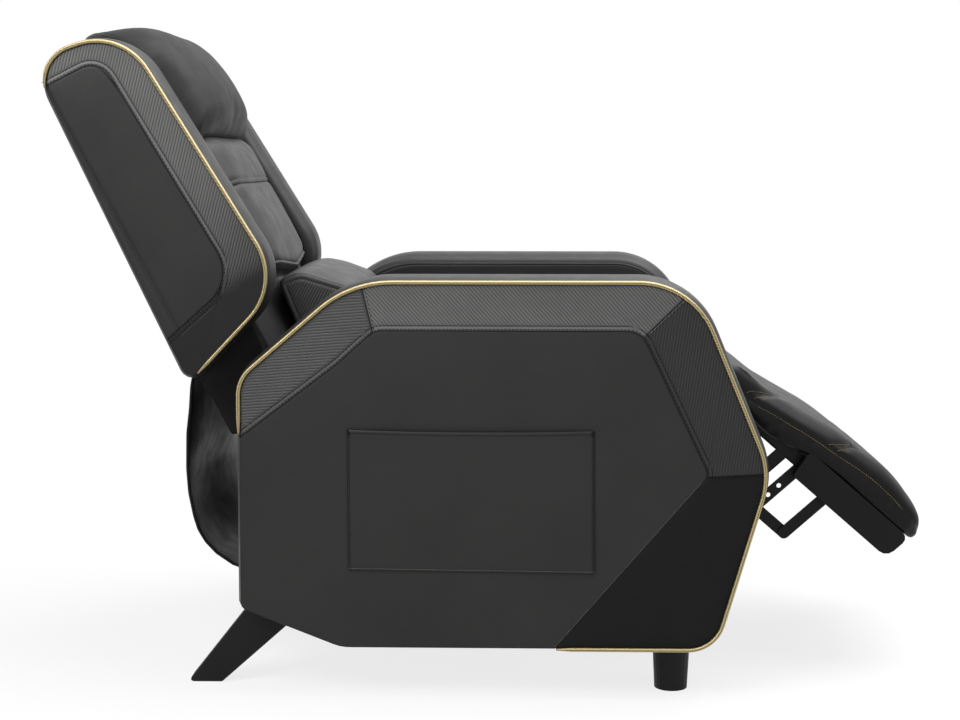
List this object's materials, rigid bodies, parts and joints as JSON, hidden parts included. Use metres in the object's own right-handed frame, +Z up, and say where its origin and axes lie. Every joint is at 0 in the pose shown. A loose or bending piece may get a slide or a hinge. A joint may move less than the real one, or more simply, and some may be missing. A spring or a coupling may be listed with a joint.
{
  "type": "reclining gaming chair",
  "caption": "Padded recliner armchair with side wings, headrest, lumbar pillow, side pocket, tilting back and a folding footrest on link arms.",
  "frame": {"origin": "on the floor at the centre of the footprint box, with the back and footrest as in the picture", "axes": "+X the way the sitter faces, +Y to the sitter's left, +Z up"},
  "size_m": [1.3954, 0.7946, 1.036],
  "materials": {
    "padded_faux_leather": "satin",
    "faux_leather_sheet": "satin",
    "wrapped_board": "satin",
    "gold_piping": "satin",
    "plywood": "matte",
    "black_steel": "satin",
    "spring_steel": "satin",
    "black_leg": "satin"
  },
  "bodies": {
    "base": {"right_arm_cover": "padded_faux_leather", "left_arm_cover": "padded_faux_leather", "seat_cushion": "padded_faux_leather", "knee_roll": "padded_faux_leather", "side_pocket": "faux_leather_sheet", "rear_skirt": "faux_leather_sheet", "right_arm_piping": "gold_piping", "left_arm_piping": "gold_piping", "right_arm_board": "plywood", "left_arm_board": "plywood", "skirt_rail": "plywood", "right_seat_rail": "plywood", "left_seat_rail": "plywood", "front_seat_rail": "plywood", "rear_seat_rail": "plywood", "front_base_tube": "black_steel", "rear_base_tube": "black_steel", "right_side_plate": "black_steel", "left_side_plate": "black_steel", "right_recline_bolt": "black_steel", "left_recline_bolt": "black_steel", "hinge_tube": "black_steel", "seat_spring_1": "spring_steel", "seat_spring_2": "spring_steel", "seat_spring_3": "spring_steel", "seat_spring_4": "spring_steel", "seat_spring_5": "spring_steel", "right_rear_leg": "black_leg", "left_rear_leg": "black_leg", "right_front_foot": "black_leg", "left_front_foot": "black_leg"},
    "backrest": {"right_wing": "padded_faux_leather", "left_wing": "padded_faux_leather", "right_wing_piping": "gold_piping", "left_wing_piping": "gold_piping", "headrest_pad": "padded_faux_leather", "upper_back_pad": "padded_faux_leather", "middle_back_pad": "padded_faux_leather", "lower_back_pad": "padded_faux_leather", "lumbar_pillow": "padded_faux_leather", "right_back_stile": "plywood", "left_back_stile": "plywood", "back_bottom_rail": "plywood", "back_top_rail": "plywood", "back_rear_panel": "wrapped_board", "right_back_bracket": "black_steel", "left_back_bracket": "black_steel"},
    "footrest": {"footrest_box": "wrapped_board", "footrest_cushion": "padded_faux_leather", "right_footrest_bracket": "black_steel", "left_footrest_bracket": "black_steel"},
    "swing_links": {"right_swing_link": "black_steel", "left_swing_link": "black_steel", "torque_tube": "black_steel"},
    "upper_links": {"right_upper_link": "black_steel", "left_upper_link": "black_steel"},
    "middle_links": {"right_middle_link": "black_steel", "left_middle_link": "black_steel"},
    "lower_links": {"right_lower_link": "black_steel", "left_lower_link": "black_steel"}
  },
  "joints": [
    {"name": "recline", "type": "hinge", "parent": "base", "child": "backrest", "pos_m": [-0.37076, 0, 0.388], "axis": [0, -1, 0], "range_deg": [-12, 34], "deforming": ["rear_skirt"]},
    {"name": "footrest_swing", "type": "hinge", "parent": "base", "child": "footrest", "pos_m": [0.36624, 0, 0.45], "axis": [0, -1, 0], "range_deg": [-49, 31]},
    {"name": "swing_link_pivot", "type": "hinge", "parent": "base", "child": "swing_links", "pos_m": [0.28673, 0, 0.3784], "axis": [0, -1, 0], "range_deg": [-49, 31]},
    {"name": "upper_link_pivot", "type": "hinge", "parent": "swing_links", "child": "upper_links", "pos_m": [0.38786, 0, 0.29049], "axis": [0, -1, 0], "range_deg": [-31, 49]},
    {"name": "middle_link_pivot", "type": "hinge", "parent": "swing_links", "child": "middle_links", "pos_m": [0.41729, 0, 0.26491], "axis": [0, -1, 0], "range_deg": [-31, 49]},
    {"name": "lower_link_pivot", "type": "hinge", "parent": "swing_links", "child": "lower_links", "pos_m": [0.46635, 0, 0.22226], "axis": [0, -1, 0], "range_deg": [-31, 49]}
  ],
  "couplings": [
    {"joint": "swing_link_pivot", "follows": "footrest_swing", "ratio": 1},
    {"joint": "upper_link_pivot", "follows": "footrest_swing", "ratio": -1},
    {"joint": "middle_link_pivot", "follows": "footrest_swing", "ratio": -1},
    {"joint": "lower_link_pivot", "follows": "footrest_swing", "ratio": -1}
  ]
}
